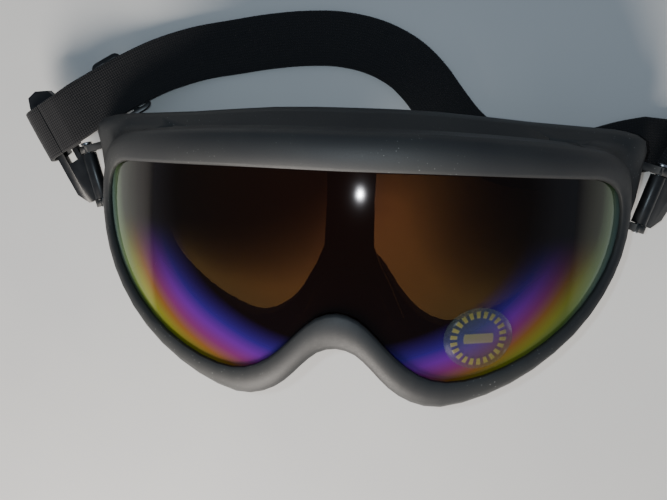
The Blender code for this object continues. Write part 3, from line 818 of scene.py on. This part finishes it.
def lay_webbing(name, stations, body, *parts):
    """stations are (middle, width direction, square to the face) in millimetres from the middle."""
    bpy.ops.object.select_all(action="DESELECT")
    bpy.ops.mesh.primitive_grid_add(
        x_subdivisions=len(stations) - 1, y_subdivisions=ACROSS, size=2.0
    )
    made = bpy.context.object
    made.name = name
    run = [0.0]
    for (one, _, _), (two, _, _) in zip(stations, stations[1:]):
        run.append(run[-1] + (two - one).length)
    last = len(stations) - 1
    for corner in made.data.vertices:
        centre, wide, square = stations[round((corner.co.x + 1) / 2 * last)]
        share = corner.co.y
        cupped = square * (STRAP_CUP * (share * share - 0.5))
        corner.co = here(*(centre + wide * (share * STRAP_WIDTH / 2) + cupped))
    for loop in made.data.uv_layers[0].data:
        u, v = loop.uv
        loop.uv = (run[round(u * last)] * MM / UV_UNIT, v * STRAP_WIDTH * MM / UV_UNIT)
    add_modifier(made, "SOLIDIFY", thickness=STRAP_THICK * MM, offset=0.0)
    add_modifier(
        made,
        "BEVEL",
        width=STRAP_EDGE * MM,
        segments=2,
        limit_method="ANGLE",
        angle_limit=STRAP_EDGE_LIMIT,
    )
    only(made)
    bpy.ops.object.mode_set(mode="EDIT")
    bpy.ops.mesh.select_all(action="SELECT")
    bpy.ops.mesh.normals_make_consistent(inside=False)
    bpy.ops.object.mode_set(mode="OBJECT")
    smooth(made, STRAP_SMOOTH)
    settle(made, webbing, "strap_webbing", body, *parts)
    print(name, "is", round(run[-1]), "mm long")


# %% [markdown]
# A bracket swings on its pin, and its plate leans down from there. Its own directions are along
# the pin, away from the goggles and up from the plate. The bar that the strap turns round runs
# slantwise across the plate.

# %% Directions of a bracket
HINGE = (92.3, 19.0, 13.2)  # the right one, in millimetres from the middle of the goggles
HINGE_LEAN = math.radians(16)
PLATE_TILT = {"left": math.radians(8), "right": math.radians(34)}
STRAP_OVER = {"left": 1.0, "right": -1.0}  # 1 where the strap comes in over the plate
BAR_START, BAR_END, BAR_WIDTH = Vector((2.0, 10.5)), Vector((28.0, 17.0)), 3.0
STRAP_ON_BAR = 16.2


def on_bar(side, out, up):
    """The strap's middle, width direction and face direction at a place near a bracket's bar."""
    sign = -1.0 if side == "left" else 1.0
    tilt = PLATE_TILT[side]
    along = Vector((sign * math.sin(HINGE_LEAN), math.cos(HINGE_LEAN), 0.0))
    level = Vector((sign * math.cos(HINGE_LEAN), -math.sin(HINGE_LEAN), 0.0))
    away = level * math.cos(tilt) - Vector((0, 0, math.sin(tilt)))
    square = level * math.sin(tilt) + Vector((0, 0, math.cos(tilt)))
    bar = (BAR_END - BAR_START).normalized()
    flat = BAR_START + bar * STRAP_ON_BAR + Vector((-bar.y, bar.x)) * (out - BAR_WIDTH / 2)
    middle = Vector((sign * HINGE[0], HINGE[1], HINGE[2]))
    place = middle + along * flat.x + away * flat.y + square * (up * STRAP_OVER[side])
    return place, (along * bar.x + away * bar.y).normalized(), square


# %% [markdown]
# At the left bracket the webbing comes in over the plate, turns round the bar, and goes back up
# through the slot to lie under itself. At the right one the same turn is upside down, so the
# webbing comes in under the plate. Each row is how far out from the bar's middle the webbing
# lies, and how far up from the middle of the plate, in millimetres.

# %% The turns and the short returns
TURN = (
    (-3.7, 3.8),
    (-1.2, 3.9),
    (1.4, 3.4),
    (3.0, 1.8),
    (3.3, 0.0),
    (2.5, -1.9),
    (0.4, -2.6),
    (-1.7, -2.3),
    (-3.0, -0.9),
    (-4.1, 0.9),
    (-5.5, 2.2),
    (-7.4, 2.2),
    (-9.0, 2.2),
    (-10.5, 2.2),
)
TURN_STEPS = 4

for side in ("left", "right"):
    stations = []
    path = smooth_path(TURN, TURN_STEPS)
    for i, (out, up) in enumerate(path):
        before, after = path[max(i - 1, 0)], path[min(i + 1, len(path) - 1)]
        place, wide, _ = on_bar(side, out, up)
        ahead = on_bar(side, *after)[0] - on_bar(side, *before)[0]
        stations.append((place, wide, ahead.cross(wide).normalized()))
    lay_webbing(
        f"webbing_turn_{side}",
        stations,
        f"bracket_{side}",
        f"strap_turn_{side}",
        f"strap_return_{side}",
    )

# %% [markdown]
# Between the brackets the strap lies where it fell. From the left bracket it runs over the slider
# and down to the table, sweeps round in one long arc with its inner edge raised, dives under the
# brow and comes up under the right bracket. Each row is the middle of the strap in millimetres,
# and its tilt in degrees.

# %% The long run
LEFT_RUN = (
    (-95.6, 42.2, 14.6, 0.0),
    (-88.3, 47.2, 11.7, 0.0),
    (-80.0, 52.6, 8.1, 0.0),
    (-70.5, 57.6, 4.9, 2.0),
    (-58.0, 61.8, 2.9, 7.0),
    (-45.0, 64.2, 2.7, 11.0),
    (-33.0, 66.2, 2.8, 12.0),
    (-21.0, 67.4, 2.8, 12.0),
    (-9.5, 67.4, 2.8, 12.0),
    (2.0, 65.2, 2.7, 11.0),
    (12.0, 60.6, 2.5, 9.0),
    (19.5, 54.2, 2.0, 7.0),
    (26.0, 46.2, 1.6, 4.0),
    (33.0, 38.4, 1.2, 0.0),
    (42.0, 32.0, 1.2, 0.0),
)
RIGHT_RUN = (
    LEFT_RUN[-1],
    (53.0, 28.8, 1.2, 0.0),
    (65.0, 28.8, 1.2, 0.0),
    (76.0, 31.4, 1.2, 0.0),
    (85.5, 34.4, 1.5, 0.0),
    (93.5, 36.2, 2.6, 0.0),
)
STEPS = 5


def lie(path):
    """Stations of the strap where it lies free, each tilted towards the inside of its curve."""
    made = []
    for i, (x, y, z, tilt) in enumerate(path):
        before, after = path[max(i - 1, 0)], path[min(i + 1, len(path) - 1)]
        along = (Vector(after[:3]) - Vector(before[:3])).normalized()
        wide = Vector((-along.y, along.x, 0.0)).normalized()
        turn = Matrix.Rotation(math.radians(tilt), 3, along)
        made.append((Vector((x, y, z)), turn @ wide, turn @ along.cross(wide)))
    return made


def one_way(stations):
    """Keeps width and face directions from flipping between stations."""
    made = []
    for place, wide, square in stations:
        if made and wide.dot(made[-1][1]) < 0:
            wide = -wide
        made.append((place, wide, square if square.z > 0 else -square))
    return made


LIFT = TURN[0][1]
LEFT_OVER_PLATE = (TURN[0][0], -5.6, -7.5, -9.0, -10.5)
LEFT_BEND_OUT, RIGHT_BEND_OUT = -8.0, -6.0

whole = smooth_path([*LEFT_RUN, *RIGHT_RUN[1:]], STEPS)
cut = (len(LEFT_RUN) - 1) * STEPS
free = lie(whole)
over_plate = [on_bar("left", out, LIFT) for out in LEFT_OVER_PLATE]
left_half = one_way([*over_plate, *free[: cut + 1]])
right_half = one_way([*free[cut:], on_bar("right", *TURN[0])])
left_bend = {
    "near": "bracket_left",
    "far": "goggles",
    "start": here(*on_bar("left", LEFT_BEND_OUT, LIFT)[0]),
    "end": here(*LEFT_RUN[1][:3]),
}
right_bend = {
    "near": "goggles",
    "far": "bracket_right",
    "start": here(*RIGHT_RUN[3][:3]),
    "end": here(*on_bar("right", RIGHT_BEND_OUT, LIFT)[0]),
}
lay_webbing("webbing_left", left_half, left_bend, "strap_main")
lay_webbing("webbing_right", right_half, right_bend, "strap_main")

# %% [markdown]
# The clear round film is stuck on the right side of the lens. It is so thin that the copy only
# needs its corners merged and its face shaded as one.

# %% Film
FILM_SMOOTH = 60

film_piece = copy_of("lens_label", "clear_film_round", clear_film, "clear_film", "goggles")
smooth(film_piece, FILM_SMOOTH)
print("film faces", len(film_piece.data.polygons))

# %% [markdown]
# The table is a smooth pale laminate, a little lighter in some places than in others. It is much
# larger than the view so that its edge never shows.

# %% Table
TABLE_SIZE = 4.0
HAZE_MM = 90.0

bpy.ops.object.select_all(action="DESELECT")
bpy.ops.mesh.primitive_plane_add(size=TABLE_SIZE)
table = bpy.context.object
table.name = "table_top"
laminate = new_material("pale_laminate")
at = node(laminate, "ShaderNodeTexCoord").outputs["Object"]
haze = node(laminate, "ShaderNodeTexNoise", Vector=at, Scale=scale_for(HAZE_MM), Detail=3.0)
pale = node(
    laminate,
    "ShaderNodeValToRGB",
    stops=[(0.3, colour("#c3c4c4")), (0.7, colour("#cbccca"))],
    Fac=haze.outputs["Fac"],
)
top = node(laminate, "ShaderNodeBsdfPrincipled", Base_Color=pale, Roughness=0.55)
node(laminate, "ShaderNodeOutputMaterial", Surface=top)
table.data.materials.append(laminate)
table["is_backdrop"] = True
print("made", laminate.name)

# %% [markdown]
# One broad soft light stands low on the cheek side and a little to the left, so the shadow falls
# up and to the right, and it is low enough that the lens throws its reflection away from the
# camera. The room around gives a weak even light that is a little blue. A very small lamp near the
# camera makes the single sharp highlight on the lens.

# %% Light
ROOM_COLOUR, ROOM_STRENGTH = "#bccbe0", 0.34

world = bpy.data.worlds.new("room")
world.use_nodes = True
background = world.node_tree.nodes["Background"]
background.inputs["Color"].default_value = colour(ROOM_COLOUR)
background.inputs["Strength"].default_value = ROOM_STRENGTH
bpy.context.scene.world = world


def lamp(name, place, target, size, watts, tint):
    """A round lamp that shines from a place to a target. Both are in metres, and so is its size."""
    bpy.ops.object.select_all(action="DESELECT")
    bpy.ops.object.light_add(type="AREA", location=place)
    made = bpy.context.object
    made.name = name
    made.data.shape = "DISK"
    made.data.size = size
    made.data.energy = watts
    made.data.color = colour(tint)[:3]
    made.rotation_euler = (Vector(target) - Vector(place)).to_track_quat("-Z", "Y").to_euler()
    return made


window = lamp(
    "window_side",
    place=(-0.28, -0.80, 0.50),
    target=(0, -0.05, 0),
    size=0.55,
    watts=21.0,
    tint="#fff6ec",
)
flash = lamp(
    "small_flash",
    place=here(7.0, 43.0, 244.0),
    target=here(0, 10, 60),
    size=0.005,
    watts=0.16,
    tint="#dff2ff",
)
print("lamps", window.data.energy, "W and", flash.data.energy, "W")

# %% [markdown]
# The finished pieces should fill the measured parts' box and hardly more. Both boxes are kept
# side by side, and how far each corner has moved is printed in millimetres.

sizes = {"cad": [list(corner) for corner in CAD_BOX], "visual": [list(corner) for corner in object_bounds()]}
grown = [
    [round((b - a) / MM, 1) for a, b in zip(*pair)] for pair in zip(sizes["cad"], sizes["visual"])
]
print("grown in mm", grown)
